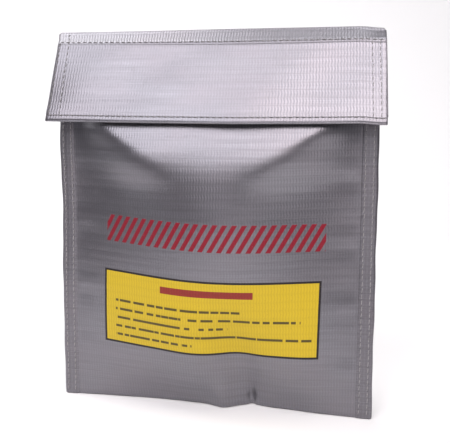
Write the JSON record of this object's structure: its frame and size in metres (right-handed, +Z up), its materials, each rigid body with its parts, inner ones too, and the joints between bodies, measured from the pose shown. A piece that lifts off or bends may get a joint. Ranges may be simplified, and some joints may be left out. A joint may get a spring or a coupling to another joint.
{
  "type": "battery charging pouch",
  "caption": "Soft fire-resistant pouch of coated cloth, standing on its opened-out base, with bound side seams and a hook-and-loop flap hinged at its top fold.",
  "frame": {"origin": "middle of the pouch's box at floor level, on the underside of the base", "axes": "+Z up from the base to the top fold, -Y towards the front that the flap covers, +X to the right as the front is seen"},
  "size_m": [0.18, 0.0512, 0.2042],
  "materials": {
    "coated_cloth": "silver-coated woven glass cloth, satin",
    "printed_cloth": "silver-coated woven glass cloth, satin, with plain blocks of red, yellow and black print",
    "binding_cloth": "folded strip of the same coated cloth",
    "loop_tape": "soft looped pile on woven tape",
    "hook_tape": "stiff hooks on woven tape",
    "thread": "grey sewing thread"
  },
  "bodies": {
    "pouch": {"front_panel": "printed_cloth", "back_panel": "coated_cloth", "base_panel": "coated_cloth", "left_seam_binding": "binding_cloth", "right_seam_binding": "binding_cloth", "left_seam_outer_needle_thread": "thread", "left_seam_outer_bobbin_thread": "thread", "left_seam_inner_needle_thread": "thread", "left_seam_inner_bobbin_thread": "thread", "right_seam_outer_needle_thread": "thread", "right_seam_outer_bobbin_thread": "thread", "right_seam_inner_needle_thread": "thread", "right_seam_inner_bobbin_thread": "thread", "mouth_hem": "coated_cloth", "loop_tape": "loop_tape", "loop_tape_thread": "thread"},
    "flap": {"flap_cloth": "coated_cloth", "flap_left_hem": "coated_cloth", "flap_right_hem": "coated_cloth", "flap_edge_hem": "coated_cloth", "hook_tape": "hook_tape", "flap_left_hem_thread": "thread", "flap_right_hem_thread": "thread", "hook_tape_needle_thread": "thread", "hook_tape_bobbin_thread": "thread"}
  },
  "joints": [
    {"name": "flap_hinge", "type": "hinge", "parent": "pouch", "child": "flap", "pos_m": [0, 0.01263, 0.2042], "axis": [-1, 0, 0], "range_deg": [0, 170]}
  ]
}
